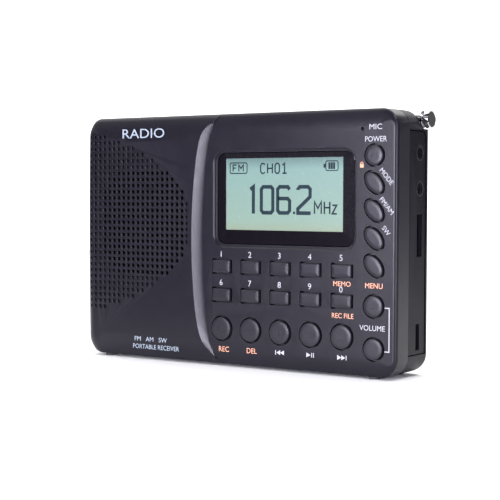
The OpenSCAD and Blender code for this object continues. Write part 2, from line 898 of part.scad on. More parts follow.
module antenna_section(n) {
    color(CHROME)
        difference() {
            rod_x(antenna_y, antenna_z, section_r(n), section_start(n), tube_end + n * lip);
            rod_x(antenna_y, antenna_z, section_r(n) - antenna_wall,
                n == 0 ? tube_x + plug : section_start(n) - 1, tube_end + n * lip + 1);
        }
}

// Outer section with the flat eye that turns on the hinge pin
module antenna_tube_1() {
    antenna_section(0);
    color(CHROME)
        difference() {
            union() {
                rod_y(swivel_x, antenna_z, eye_r, antenna_y - eye_t / 2, antenna_y + eye_t / 2);
                block([swivel_x, antenna_y - eye_t / 2, antenna_z - eye_r],
                    [tube_x + EPS, antenna_y + eye_t / 2, antenna_z + eye_r]);
            }
            rod_y(swivel_x, antenna_z, hinge_r + run_gap, antenna_y - 3, antenna_y + 3);
        }
}

module antenna_tube_2() {
    antenna_section(1);
}

module antenna_tube_3() {
    antenna_section(2);
}

module antenna_tube_4() {
    antenna_section(3);
}

// Solid tip rod with the pull knob
module antenna_tip_rod() {
    knob_x = tube_end + 4 * lip + 0.2;
    color(CHROME)
        union() {
            rod_x(antenna_y, antenna_z, section_r(4), section_start(4), knob_x + EPS);
            rod_x(antenna_y, antenna_z, knob_dia / 2, knob_x, knob_x + 1.95);
        }
}

// One key: proud cap, flange behind the panel and stem
module key(p, tone) {
    color(tone)
        translate([p[0], 0, p[1]]) {
            along_y(front_y - cap_rise, flange_y + EPS)
                children(0);
            along_y(flange_y, flange_y + flange_t)
                children(1);
            rod_y(0, 0, 1.2, flange_y + flange_t - EPS, stem_end_y);
        }
}

module number_key(index) {
    key(key_places()[index], PANEL) {
        number_shape(0);
        number_shape(key_flange + cap_gap);
    }
}

module deck_key(index) {
    key(key_places()[10 + index], PANEL) {
        deck_shape(0);
        deck_shape(key_flange + cap_gap);
    }
}

module oval_key(index) {
    key(key_places()[16 + index], PANEL) {
        oval(0);
        oval(key_flange + cap_gap);
    }
}

module volume_key(index) {
    key(key_places()[20 + index], PANEL) {
        volume_shape(0);
        volume_shape(key_flange + cap_gap);
    }
}

module key_power() {
    key(key_places()[15], PANEL) {
        power_shape(0);
        power_shape(key_flange + cap_gap);
    }
}

front_cover();
back_shell();
side_port_plate();
battery_door();
kickstand();
display_window();
lcd_glass();
lcd_backlight();
key_board();
key_switches();
main_board();
board_components();
speaker_frame();
speaker_cone();
speaker_magnet();
speaker_cloth();
battery();
battery_contacts();
headphone_jack();
line_in_jack();
card_socket();
usb_socket();
microphone();
ferrite_rod();
ferrite_coil();
case_screws();
board_screws();
feet();
antenna_bracket();
antenna_swivel();
antenna_screw();
antenna_hinge_pin();
antenna_tube_1();
antenna_tube_2();
antenna_tube_3();
antenna_tube_4();
antenna_tip_rod();
number_key(0);  // key_1
number_key(1);  // key_2
number_key(2);  // key_3
number_key(3);  // key_4
number_key(4);  // key_5
number_key(5);  // key_6
number_key(6);  // key_7
number_key(7);  // key_8
number_key(8);  // key_9
number_key(9);  // key_0
deck_key(0);  // key_record
deck_key(1);  // key_delete
deck_key(2);  // key_previous
deck_key(3);  // key_play_pause
deck_key(4);  // key_next
key_power();
oval_key(0);  // key_mode
oval_key(1);  // key_band
oval_key(2);  // key_shortwave
oval_key(3);  // key_menu
volume_key(0);  // key_volume_up
volume_key(1);  // key_volume_down
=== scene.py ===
"""Looks of the pocket shortwave receiver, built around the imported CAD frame."""

import math
import bmesh
import bpy
from mathutils import Matrix, Vector


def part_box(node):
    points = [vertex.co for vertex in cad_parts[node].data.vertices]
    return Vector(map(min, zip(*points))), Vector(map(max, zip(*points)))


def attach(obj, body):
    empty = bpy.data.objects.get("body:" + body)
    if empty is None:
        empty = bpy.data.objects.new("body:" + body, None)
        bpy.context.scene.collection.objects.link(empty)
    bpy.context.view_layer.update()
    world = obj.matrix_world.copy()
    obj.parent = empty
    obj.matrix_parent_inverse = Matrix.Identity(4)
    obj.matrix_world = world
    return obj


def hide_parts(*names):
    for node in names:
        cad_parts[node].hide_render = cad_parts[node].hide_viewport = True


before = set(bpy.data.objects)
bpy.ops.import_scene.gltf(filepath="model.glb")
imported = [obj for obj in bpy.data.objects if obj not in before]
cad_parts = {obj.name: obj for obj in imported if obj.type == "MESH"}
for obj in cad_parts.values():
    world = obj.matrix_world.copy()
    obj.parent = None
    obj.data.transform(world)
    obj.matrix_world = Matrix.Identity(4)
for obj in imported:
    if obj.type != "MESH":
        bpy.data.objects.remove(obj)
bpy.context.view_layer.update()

MM = 0.001

# ---------------------------------------------------------------- places, in millimetres


def span(node):
    """Lowest and highest corner of a CAD node, in millimetres."""
    lo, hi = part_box(node)
    return [v / MM for v in lo], [v / MM for v in hi]


COVER_LO, COVER_HI = span("front_cover")
WINDOW_LO, WINDOW_HI = span("display_window")
CLOTH_LO, CLOTH_HI = span("speaker_cloth")

LEFT, RIGHT = COVER_LO[0], COVER_HI[0]
BOTTOM, TOP = COVER_LO[2], COVER_HI[2]
MID_Z = (BOTTOM + TOP) / 2
PARTING = COVER_HI[1]
RISE = 0.7  # how far the speaker panel stands proud
FRONT = COVER_LO[1] + RISE
WALL = 1.6
FRONT_WALL = 1.8
CORNER = 6.0
SPEAKER_X = (CLOTH_LO[0] + CLOTH_HI[0]) / 2
SPEAKER_Z = (CLOTH_LO[2] + CLOTH_HI[2]) / 2
GRILLE_PITCH = 2.04
GRILLE_REACH = 8
GRILLE_HOLE_R = 0.64
DIMPLE_DEPTH = 0.9
CAP_GAP = 0.5  # between a key and its hole
CAP_RIM = 0.32
KNOB_LENGTH = 1.95
CRESCENT_LEFT = (-14.4, 4.3, 3.0, 6.8)  # middle X, bulge, bend of the upper and of the lower tip
CRESCENT_RIGHT = (-10.3, 3.6, 2.6, 2.6)
CRESCENT_HOLLOW = 1.45  # 1 is a flat slope, more is hollower
INK = 0.012  # thickness of the prints
SIGN = 0.1  # height of the signs on the keys
DIGIT_STROKE = 1.15
UNIT_STROKE = 0.52

NUMBER_KEYS = ["key_%d" % (n % 10) for n in range(1, 11)]
DECK_KEYS = ["key_record", "key_delete", "key_previous", "key_play_pause", "key_next"]
OVAL_KEYS = ["key_mode", "key_band", "key_shortwave", "key_menu"]
VOLUME_KEYS = ["key_volume_up", "key_volume_down"]
NUMBER_CAP = (6.8, 3.95)
DECK_R, POWER_R, VOLUME_R = 3.65, 3.0, 3.2
OVAL_CAP = (7.6, 4.7)
OVAL_TILT = 47


def centre(node):
    """Middle of a key in X and Z."""
    lo, hi = span(node)
    return (lo[0] + hi[0]) / 2, (lo[2] + hi[2]) / 2


# ---------------------------------------------------------------- mesh helpers


def new_object(name, verts, faces, smooth=35):
    """Mesh object from points in millimetres, with sharp edges above the smooth angle."""
    mesh = bpy.data.meshes.new(name)
    mesh.from_pydata([Vector(v) * MM for v in verts], [], faces)
    bm = bmesh.new()
    bm.from_mesh(mesh)
    bmesh.ops.remove_doubles(bm, verts=bm.verts, dist=1e-7)
    bmesh.ops.recalc_face_normals(bm, faces=bm.faces)
    bm.to_mesh(mesh)
    bm.free()
    obj = bpy.data.objects.new(name, mesh)
    bpy.context.collection.objects.link(obj)
    shade(obj, smooth)
    return obj


def shade(obj, angle=35):
    """Smooth shading with edges above an angle kept sharp."""
    mesh = obj.data
    for p in mesh.polygons:
        p.use_smooth = True
    bm = bmesh.new()
    bm.from_mesh(mesh)
    limit = math.radians(angle)
    for e in bm.edges:
        e.smooth = len(e.link_faces) == 2 and e.calc_face_angle(0) < limit
    bm.to_mesh(mesh)
    bm.free()


def loft(name, rings, close=False, smooth=35):
    """Solid through rings of equal length; close joins the last ring to the first."""
    n = len(rings[0])
    verts = [p for ring in rings for p in ring]
    faces = []
    count = len(rings)
    for k in range(count if close else count - 1):
        a, b = k * n, ((k + 1) % count) * n
        for i in range(n):
            j = (i + 1) % n
            faces.append((a + i, a + j, b + j, b + i))
    if not close:
        faces.append(tuple(range(n)))
        faces.append(tuple((count - 1) * n + i for i in range(n)))
    return new_object(name, verts, faces, smooth)


def join(name, objs, smooth=35):
    """One object from several."""
    bm = bmesh.new()
    for o in objs:
        part = o.data.copy()
        part.transform(o.matrix_world)
        bm.from_mesh(part)
        bpy.data.meshes.remove(part)
    mesh = bpy.data.meshes.new(name)
    bm.to_mesh(mesh)
    bm.free()
    for o in objs:
        bpy.data.objects.remove(o)
    obj = bpy.data.objects.new(name, mesh)
    bpy.context.collection.objects.link(obj)
    shade(obj, smooth)
    return obj


def boolean(obj, other, operation, smooth=35):
    """Exact boolean, applied at once; the tool object is removed."""
    mod = obj.modifiers.new(operation, "BOOLEAN")
    mod.operation = operation
    mod.solver = "EXACT"
    mod.object = other
    bpy.context.view_layer.update()
    result = bpy.data.meshes.new_from_object(obj.evaluated_get(bpy.context.evaluated_depsgraph_get()))
    obj.modifiers.clear()
    obj.data = result
    bm = bmesh.new()
    bm.from_mesh(result)
    bmesh.ops.remove_doubles(bm, verts=bm.verts, dist=2e-6)
    bmesh.ops.dissolve_degenerate(bm, edges=bm.edges, dist=1e-6)
    bm.to_mesh(result)
    bm.free()
    bpy.data.objects.remove(other)
    shade(obj, smooth)
    return obj


def weighted(obj):
    """Normals weighted by face area, so flat faces stay flat beside small rounds."""
    mod = obj.modifiers.new("weighted", "WEIGHTED_NORMAL")
    mod.keep_sharp = True
    mod.weight = 80
    return obj


def place(obj, body, material, slot, *nodes):
    """Gives a piece its material and body and hides the CAD nodes it stands for; the record slot argument is
    not used.
    """
    obj.data.materials.clear()
    obj.data.materials.append(material)
    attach(obj, body)
    if nodes:
        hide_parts(*nodes)
    return obj


def circle_points(a, b, r, n=40):
    """Circle about a point, in the front plane or across an X axis."""
    return [(a + r * math.cos(2 * math.pi * i / n), b + r * math.sin(2 * math.pi * i / n)) for i in range(n)]


def ellipse_points(x, z, a, b, tilt, n=48):
    """Ellipse in the front plane, its long axis falling to the right by the tilt."""
    c, s = math.cos(math.radians(-tilt)), math.sin(math.radians(-tilt))
    points = []
    for i in range(n):
        t = 2 * math.pi * i / n
        u, v = a * math.cos(t), b * math.sin(t)
        points.append((x + c * u - s * v, z + s * u + c * v))
    return points


def rect_points(x, z, w, h, r, n=7):
    """Rectangle with round corners in the front plane."""
    points = []
    for cx, cz, start in ((1, 1, 0), (-1, 1, 90), (-1, -1, 180), (1, -1, 270)):
        a, b = x + cx * (w / 2 - r), z + cz * (h / 2 - r)
        for i in range(n):
            t = math.radians(start + 90 * i / (n - 1))
            points.append((a + r * math.cos(t), b + r * math.sin(t)))
    return points


def at_y(points, y):
    """Front-plane points lifted to a depth."""
    return [(x, y, z) for x, z in points]


def round_steps(radius, n=4):
    """(inset, drop) pairs round a quarter circle, from the side wall to the flat face."""
    turns = [math.radians(90 * k / n) for k in range(n + 1)]
    return [(radius * (1 - math.cos(t)), radius * (1 - math.sin(t))) for t in turns]


def tube_x(name, y, z, profile, n=40, smooth=35):
    """Turned piece about an X axis, from (x, radius) pairs."""
    rings = [[(x, a, b) for a, b in circle_points(y, z, r, n)] for x, r in profile]
    return loft(name, rings, smooth=smooth)


# ---------------------------------------------------------------- camera, floor and light


def camera():
    """Camera at the photograph's angle: right of the front, a little above the middle."""
    azimuth, elevation, roll = math.radians(34.444), math.radians(2.377), math.radians(0.159)
    distance = 429.53 * MM
    target = Vector((1.216, 0, 36.868)) * MM
    back = Vector(
        (
            math.sin(azimuth) * math.cos(elevation),
            -math.cos(azimuth) * math.cos(elevation),
            math.sin(elevation),
        )
    )
    right = (-back).cross(Vector((0, 0, 1))).normalized()
    up = right.cross(-back)
    right, up = (
        math.cos(roll) * right + math.sin(roll) * up,
        math.cos(roll) * up - math.sin(roll) * right,
    )
    data = bpy.data.cameras.new("camera")
    data.lens = 95.855
    data.sensor_width = 36
    data.clip_start = 0.01
    obj = bpy.data.objects.new("camera", data)
    turn = Matrix((right, up, back)).transposed().to_4x4()
    obj.matrix_world = Matrix.Translation(target + back * distance) @ turn
    bpy.context.collection.objects.link(obj)
    bpy.context.scene.camera = obj


def area_light(name, place_mm, aim_mm, size_mm, power, colour=(1, 1, 1)):
    """Soft rectangular light aimed at a point."""
    data = bpy.data.lights.new(name, "AREA")
    data.shape = "RECTANGLE"
    data.size, data.size_y = size_mm[0] * MM, size_mm[1] * MM
    data.energy = power
    data.color = colour
    obj = bpy.data.objects.new(name, data)
    spot, aim = Vector(place_mm) * MM, Vector(aim_mm) * MM
    turn = (spot - aim).to_track_quat("Z", "Y").to_matrix().to_4x4()
    obj.matrix_world = Matrix.Translation(spot) @ turn
    bpy.context.collection.objects.link(obj)


def studio():
    """Pale floor, and a soft surround that is white behind the object and dimmer in front of it."""
    scene = bpy.context.scene
    scene.view_settings.view_transform = "Standard"
    world = bpy.data.worlds.new("studio")
    world.use_nodes = True
    scene.world = world
    tree = world.node_tree
    coords = tree.nodes.new("ShaderNodeTexCoord")
    split = tree.nodes.new("ShaderNodeSeparateXYZ")
    tree.links.new(coords.outputs["Generated"], split.inputs[0])

    def step(socket, low, high, start, end):
        node = tree.nodes.new("ShaderNodeMapRange")
        node.interpolation_type = "SMOOTHSTEP"
        for key, value in (("From Min", low), ("From Max", high), ("To Min", start), ("To Max", end)):
            node.inputs[key].default_value = value
        tree.links.new(split.outputs[socket], node.inputs["Value"])
        return node.outputs["Result"]

    def combine(operation, a, b):
        node = tree.nodes.new("ShaderNodeMath")
        node.operation = operation
        tree.links.new(a, node.inputs[0])
        tree.links.new(b, node.inputs[1])
        return node.outputs[0]

    behind = combine("MULTIPLY", step("Y", -0.2, 0.35, 0.08, 1), step("Z", 0.25, 0.7, 1, 0.6))
    glow = combine("MULTIPLY", step("X", -0.3, 0.25, 1.05, 0.14), behind)
    stripe = combine("MULTIPLY", step("Z", 0.3, 0.36, 0, 1), step("Z", 0.6, 0.66, 1, 0))
    glow = combine("ADD", glow, combine("MULTIPLY", step("Y", -0.2, 0.2, 0.7, 0), stripe))
    seen = tree.nodes.new("ShaderNodeLightPath").outputs["Is Camera Ray"]
    background = tree.nodes["Background"]
    background.inputs["Color"].default_value = (1, 1, 1, 1)
    tree.links.new(combine("ADD", glow, seen), background.inputs["Strength"])
    left, right, near, far = -700, 330, -90, 640
    corners = [(left, near, 0), (right, near, 0), (right, far, 0), (left, far, 0)]
    floor = new_object("floor", corners, [(0, 1, 2, 3)])
    material = bpy.data.materials.new("floor")
    material.use_nodes = True
    shader = material.node_tree.nodes["Principled BSDF"]
    shader.inputs["Base Color"].default_value = (0.96, 0.96, 0.96, 1)
    shader.inputs["Roughness"].default_value = 0.9
    shader.inputs["Specular IOR Level"].default_value = 0.1
    floor.data.materials.append(material)
    area_light("front", (-65, -620, 70), (10, 0, 42), (220, 150), 5, (0.94, 0.92, 1.08))
    area_light("edge", (500, -340, 60), (40, 0, 45), (40, 420), 3, (0.93, 0.94, 1.08))
    area_light("ceiling", (-300, 330, 700), (-250, 260, 0), (1500, 1100), 15)
    area_light("overhead", (230, -60, 420), (60, 10, 75), (120, 120), 0.7)


# ---------------------------------------------------------------- materials


class Nodes:
    """Short hand for building a material's node tree."""

    def __init__(self, name):
        self.material = bpy.data.materials.new(name)
        self.material.use_nodes = True
        self.tree = self.material.node_tree
        self.shader = self.tree.nodes["Principled BSDF"]
        self.coords = self.add("ShaderNodeTexCoord").outputs["Object"]

    def add(self, kind, **values):
        node = self.tree.nodes.new(kind)
        for key, value in values.items():
            if key in node.inputs:
                node.inputs[key].default_value = value
            else:
                setattr(node, key, value)
        return node

    def link(self, a, b):
        self.tree.links.new(a, b)

    def noise(self, scale, detail=4, roughness=0.6, stretch=None):
        """Noise value over the object, optionally stretched along the axes."""
        node = self.add("ShaderNodeTexNoise", Scale=scale, Detail=detail, Roughness=roughness)
        source = self.coords
        if stretch:
            mapping = self.add("ShaderNodeMapping")
            mapping.inputs["Scale"].default_value = stretch
            self.link(source, mapping.inputs["Vector"])
            source = mapping.outputs["Vector"]
        self.link(source, node.inputs["Vector"])
        return node.outputs["Fac"]

    def ramp(self, value, stops):
        """Colour ramp with (position, colour) stops."""
        node = self.add("ShaderNodeValToRGB")
        elements = node.color_ramp.elements
        while len(elements) < len(stops):
            elements.new(0.5)
        for element, (position, colour) in zip(elements, stops):
            element.position = position
            element.color = (*colour, 1)
        self.link(value, node.inputs["Fac"])
        return node.outputs["Color"]

    def grey(self, value, low, high):
        """Value mapped to a range."""
        node = self.add("ShaderNodeMapRange")
        node.inputs["To Min"].default_value = low
        node.inputs["To Max"].default_value = high
        self.link(value, node.inputs["Value"])
        return node.outputs["Result"]

    def bump(self, value, distance_mm):
        """Bump from a height value."""
        node = self.add("ShaderNodeBump", Strength=1.0, Distance=distance_mm * MM)
        self.link(value, node.inputs["Height"])
        return node.outputs["Normal"]


def plastic(name, colour, roughness, grain=0.02, shine=0.5):
    """Moulded plastic: spark-eroded grain, faint mottling and lighter handled edges."""
    m = Nodes(name)
    mottling = m.noise(60, 3)
    dark = tuple(c * 0.9 for c in colour)
    light = tuple(c * 1.1 for c in colour)
    body = m.ramp(mottling, [(0.3, dark), (0.7, light)])
    worn = tuple(min(1, c * 1.25 + 0.01) for c in colour)
    geometry = m.add("ShaderNodeNewGeometry")
    ridge = m.ramp(geometry.outputs["Pointiness"], [(0.52, (0, 0, 0)), (0.6, (1, 1, 1))])
    scuffs = m.noise(900, 4)
    mask = m.add("ShaderNodeMath", operation="MULTIPLY")
    m.link(ridge, mask.inputs[0])
    m.link(scuffs, mask.inputs[1])
    mix = m.add("ShaderNodeMix", data_type="RGBA")
    m.link(mask.outputs[0], mix.inputs["Factor"])
    m.link(body, mix.inputs[6])
    mix.inputs[7].default_value = (*worn, 1)
    m.link(mix.outputs[2], m.shader.inputs["Base Color"])
    fine = m.noise(5200, 2, 0.7)
    m.link(m.grey(m.noise(220, 3), roughness - 0.05, roughness + 0.06), m.shader.inputs["Roughness"])
    m.link(m.bump(fine, grain), m.shader.inputs["Normal"])
    m.shader.inputs["Specular IOR Level"].default_value = shine
    return m.material


def metal(name, colour, roughness, stretch=(1, 1, 1)):
    """Plated metal with fine drawn lines and small scratches."""
    m = Nodes(name)
    lines = m.noise(900, 5, 0.7, stretch)
    shade_ramp = m.ramp(lines, [(0.3, tuple(c * 0.9 for c in colour)), (0.7, colour)])
    m.link(shade_ramp, m.shader.inputs["Base Color"])
    m.shader.inputs["Metallic"].default_value = 1.0
    m.link(m.grey(lines, roughness * 0.7, roughness * 1.4), m.shader.inputs["Roughness"])
    m.link(m.bump(lines, 0.004), m.shader.inputs["Normal"])
    return m.material


def print_ink(name, colour):
    """Pad-printed ink: matte, very slightly uneven."""
    m = Nodes(name)
    coverage = m.noise(1500, 3)
    thin = tuple(c * 0.88 for c in colour)
    m.link(m.ramp(coverage, [(0.3, thin), (0.7, colour)]), m.shader.inputs["Base Color"])
    m.link(m.grey(coverage, 0.45, 0.6), m.shader.inputs["Roughness"])
    m.link(m.bump(coverage, 0.004), m.shader.inputs["Normal"])
    m.shader.inputs["Specular IOR Level"].default_value = 0.2
    return m.material


# ---------------------------------------------------------------- case outline


def outline(bow):
    """Points and inward normals round the case, anticlockwise from the foot of the right side.

    The left side bows in by the given amount towards its ends.
    """
    w, h, r = RIGHT - LEFT, TOP - BOTTOM, CORNER
    path = []

    def line(a, b, n):
        for i in range(n):
            t = i / n
            path.append((a[0] + (b[0] - a[0]) * t, a[1] + (b[1] - a[1]) * t))

    def arc(cx, cz, start, n=14):
        for i in range(n):
            t = math.radians(start + 90 * i / n)
            path.append((cx + r * math.cos(t), cz + r * math.sin(t)))

    x1, z1 = w / 2 - r, h / 2 - r
    line((w / 2, -z1), (w / 2, z1), 24)
    arc(x1, z1, 0)
    line((x1, h / 2), (-x1, h / 2), 40)
    arc(-x1, z1, 90)
    line((-w / 2, z1), (-w / 2, -z1), 24)
    arc(-x1, -z1, 180)
    line((-x1, -h / 2), (x1, -h / 2), 40)
    arc(x1, -z1, 270)
    points = []
    for x, z in path:
        if x < 0:
            near = min(1, max(0, (-x - x1) / r))
            x += near * bow * (z / (h / 2)) ** 2
        points.append((x, z + MID_Z))
    normals = []
    n = len(points)
    for i in range(n):
        ax, az = points[i - 1]
        bx, bz = points[(i + 1) % n]
        tx, tz = bx - ax, bz - az
        size = math.hypot(tx, tz)
        normals.append((-tz / size, tx / size))
    return points, normals


def ease(x):
    """Smooth step from 0 to 1."""
    x = min(1, max(0, x))
    return x * x * (3 - 2 * x)


def edge_style(normal, right, left, level):
    """Blend of a right, left and top or bottom value by where the outline faces."""
    side = normal[0] * normal[0]
    value = left if normal[0] > 0 else right
    return level + (value - level) * ease(side)


def outer_rings(points, normals, widths, drops, face_y, shrink=0.0):
    """Rings from the side wall to the front face, rounding by each point's own width and drop."""
    rings = []
    steps = 8
    for k in range(steps + 1):
        t = math.radians(90 * k / steps)
        ring = []
        for (x, z), (nx, nz), a, b in zip(points, normals, widths, drops):
            inset = a * (1 - math.cos(t)) + shrink
            ring.append((x + nx * inset, face_y + b * (1 - math.sin(t)), z + nz * inset))
        rings.append(ring)
    return rings


# ---------------------------------------------------------------- front cover


def hole_cutter(points_at, depth_y, mouth):
    """Prism with a rounded mouth; points_at gives the outline grown by a margin."""
    rings = [at_y(points_at(0), depth_y)]
    for inset, drop in reversed(round_steps(mouth, 3)):
        rings.append(at_y(points_at(mouth - drop), FRONT + mouth - (mouth - inset)))
    rings.sort(key=lambda ring: -ring[0][1])
    rings.append(at_y(points_at(mouth), FRONT - 3))
    return loft("cutter", rings)


def key_outlines(corner, gap=0):
    """Each key's name, and its outline as a function of a margin, plus a gap.

    corner gives the number keys' corner radius for a margin.
    """
    outlines = []
    for name in NUMBER_KEYS:
        x, z = centre(name)
        w, h = NUMBER_CAP[0] + 2 * gap, NUMBER_CAP[1] + 2 * gap
        outlines.append(
            (name, lambda g, x=x, z=z, w=w, h=h: rect_points(x, z, w + 2 * g, h + 2 * g, corner(g), 5))
        )
    for names, r in ((DECK_KEYS, DECK_R), (["key_power"], POWER_R), (VOLUME_KEYS, VOLUME_R)):
        for name in names:
            x, z = centre(name)
            outlines.append((name, lambda g, x=x, z=z, r=r + gap: circle_points(x, z, r + g)))
    a, b = OVAL_CAP[0] / 2 + gap, OVAL_CAP[1] / 2 + gap
    for name in OVAL_KEYS:
        x, z = centre(name)
        outlines.append((name, lambda g, x=x, z=z: ellipse_points(x, z, a + g, b + g, OVAL_TILT)))
    return outlines


def key_hole_cutters():
    """Cutters for all key holes, each a little wider at the mouth."""
    outlines = key_outlines(lambda g: 0.5 + g, CAP_GAP)
    return join("key_holes", [hole_cutter(points_at, FRONT + 4, 0.22) for _, points_at in outlines])


def grille_cutters():
    """Grille holes through the wall over the speaker, and blind dimples that fade round them."""
    tools = []
    face = FRONT - RISE
    mouth = GRILLE_HOLE_R + 0.16
    for i in range(-14, 15):
        for j in range(-16, 17):
            x, z = SPEAKER_X + i * GRILLE_PITCH, SPEAKER_Z + j * GRILLE_PITCH
            through = abs(i) <= GRILLE_REACH and abs(j) <= GRILLE_REACH and i * i + j * j < 90
            dimple = ((i + 24.6) / 34.3) ** 2 + (j / 16) ** 2 < 1 and x > LEFT + 2.6
            if not (through or dimple):
                continue
            depth = 4.0 if through else DIMPLE_DEPTH
            floor_r = GRILLE_HOLE_R * (1 if through else 0.92)
            levels = ((floor_r, depth), (GRILLE_HOLE_R, 0.2), (mouth, -0.02), (mouth, -0.6))
            tools.append(loft("hole", [at_y(circle_points(x, z, r, 12), face + y) for r, y in levels]))
    return join("grille_holes", tools)


def crescent_x(z, mid_x, bulge, tip_top, tip_bottom):
    """Edge of the crescent: a long arc that bends over towards the tips."""
    t = (z - MID_Z) / ((TOP - BOTTOM) / 2)
    return mid_x + bulge * t * t + (tip_top if t > 0 else tip_bottom) * abs(t) ** 9


def speaker_panel(points, normals):
    """Proud panel over the speaker, ending in the sloping crescent."""
    widths = [edge_style(n, 3.0, 4.4, 8.0) for n in normals]
    drops = [edge_style(n, 2.0, 3.6, 2.3) for n in normals]
    rings = outer_rings(points, normals, widths, drops, FRONT - RISE, shrink=0.02)
    rings.insert(0, [(x, FRONT + 4.5, z) for x, _, z in rings[0]])
    panel = loft("speaker_panel", rings, smooth=30)
    steps, curve = 48, 6
    verts, faces = [], []
    for k in range(steps + 1):
        z = BOTTOM - 2 + (TOP - BOTTOM + 4) * k / steps
        left = crescent_x(z, *CRESCENT_LEFT)
        right = max(crescent_x(z, *CRESCENT_RIGHT), left + 0.5)
        verts.append((left - 0.6, FRONT - RISE - 0.5, z))
        for i in range(curve + 1):
            u = i / curve
            verts.append((left + (right - left) * u, FRONT - RISE * (1 - u) ** CRESCENT_HOLLOW, z))
        verts += [(right + 0.3, FRONT + 8, z), (90, FRONT + 8, z)]
        verts += [(90, FRONT - 4, z), (left - 0.6, FRONT - 4, z)]
    n = curve + 6
    for k in range(steps):
        for i in range(n):
            j = (i + 1) % n
            faces.append((k * n + i, k * n + j, (k + 1) * n + j, (k + 1) * n + i))
    faces.append(tuple(range(n)))
    faces.append(tuple(steps * n + i for i in range(n)))
    cutter = new_object("slope", verts, faces)
    return boolean(panel, cutter, "DIFFERENCE")


def crisp_slope(obj):
    """Keeps the crescent's outer edge sharp, though the slope starts at a small angle."""
    bm = bmesh.new()
    bm.from_mesh(obj.data)
    for e in bm.edges:
        if len(e.link_faces) != 2:
            continue
        x = (e.verts[0].co.x + e.verts[1].co.x) / 2 / MM
        a, b = sorted(f.normal.x for f in e.link_faces)
        if -16 < x < -3 and a < 0.08 and b > 0.2 and e.verts[0].co.y < (FRONT + 3) * MM:
            e.smooth = False
    bm.to_mesh(obj.data)
    bm.free()


def front_cover(material):
    """Front cover with crowned edges, the speaker panel, window recess, key holes and grille."""
    points, normals = outline(bow=0.45)
    widths = [edge_style(n, 1.3, 4.2, 5.5) for n in normals]
    drops = [edge_style(n, 1.2, 2.9, 1.6) for n in normals]
    rings = outer_rings(points, normals, widths, drops, FRONT)
    inner = [(x + nx * WALL, z + nz * WALL) for (x, z), (nx, nz) in zip(points, normals)]
    rear = at_y(points, PARTING - 0.12)
    edge = [(x + nx * 0.12, PARTING, z + nz * 0.12) for (x, z), (nx, nz) in zip(points, normals)]
    body = loft(
        "front_cover_shell",
        [at_y(inner, FRONT + FRONT_WALL), at_y(inner, PARTING), edge, rear, *rings],
        smooth=30,
    )
    boolean(body, speaker_panel(points, normals), "UNION")
    wx, wz = (WINDOW_LO[0] + WINDOW_HI[0]) / 2, (WINDOW_LO[2] + WINDOW_HI[2]) / 2
    ww, wh = WINDOW_HI[0] - WINDOW_LO[0], WINDOW_HI[2] - WINDOW_LO[2]
    seat = loft(
        "window_seat",
        [
            at_y(rect_points(wx, wz, ww - 3, wh - 3, 1.5), FRONT + 4),
            at_y(rect_points(wx, wz, ww - 3, wh - 3, 1.5), WINDOW_HI[1]),
            at_y(rect_points(wx, wz, ww + 0.1, wh + 0.1, 3), WINDOW_HI[1]),
            at_y(rect_points(wx, wz, ww + 0.1, wh + 0.1, 3), FRONT - 3),
        ],
    )
    ledge = FRONT + 0.55
    window = loft(
        "window_rim",
        [
            at_y(rect_points(wx - 0.05, wz - 0.05, ww + 0.5, wh + 0.6, 3.2), ledge + 0.1),
            at_y(rect_points(wx - 0.05, wz - 0.05, ww + 0.7, wh + 0.8, 3.3), ledge),
            at_y(rect_points(wx - 0.3, wz - 0.15, ww + 1.35, wh + 1.25, 3.75), ledge),
            at_y(rect_points(wx - 0.3, wz - 0.15, ww + 1.4, wh + 1.3, 3.8), FRONT + 0.4),
            at_y(rect_points(wx - 0.3, wz - 0.15, ww + 2.24, wh + 2.14, 4.2), FRONT - 0.02),
            at_y(rect_points(wx - 0.3, wz - 0.15, ww + 2.2, wh + 2.1, 4.15), FRONT - 3),
        ],
    )
    boolean(body, window, "DIFFERENCE")
    boolean(body, seat, "DIFFERENCE")
    boolean(body, key_hole_cutters(), "DIFFERENCE")
    boolean(body, grille_cutters(), "DIFFERENCE")
    mic_lo, mic_hi = span("microphone")
    mx, mz = (mic_lo[0] + mic_hi[0]) / 2, (mic_lo[2] + mic_hi[2]) / 2
    mic = hole_cutter(lambda g: circle_points(mx, mz, 0.6 + g, 20), FRONT + 3, 0.06)
    boolean(body, mic, "DIFFERENCE", 30)
    crisp_slope(body)
    return place(weighted(body), "case", material, "panel", "front_cover")


# ---------------------------------------------------------------- keys


def key_piece(name, points_at):
    """One key: flange, side wall, rounded rim and a slightly crowned face."""
    flange_y = FRONT + FRONT_WALL + 0.1
    flange_depth, flange_reach, crown = 0.9, 0.85, 0.12
    face_y = span(name)[0][1] + 0.07
    rings = [
        at_y(points_at(-0.6), flange_y + flange_depth),
        at_y(points_at(flange_reach), flange_y + flange_depth),
        at_y(points_at(flange_reach), flange_y),
        at_y(points_at(0), flange_y),
    ]
    for inset, drop in round_steps(CAP_RIM, 4):
        rings.append(at_y(points_at(-inset), face_y + crown + drop))
    for t in (0.25, 0.5, 0.75):
        rings.append(at_y(points_at(-CAP_RIM - t * 1.2), face_y + crown * (1 - t)))
    return loft(name + "_cap", rings, smooth=40)


def keys(material):
    """All key caps."""
    outlines = key_outlines(lambda g: max(0.08, 0.45 + g * 0.8))
    made = [(name, key_piece(name, points_at)) for name, points_at in outlines]
    for name, piece in made:
        place(weighted(piece), name, material, "keys", name)


# ---------------------------------------------------------------- prints and the display


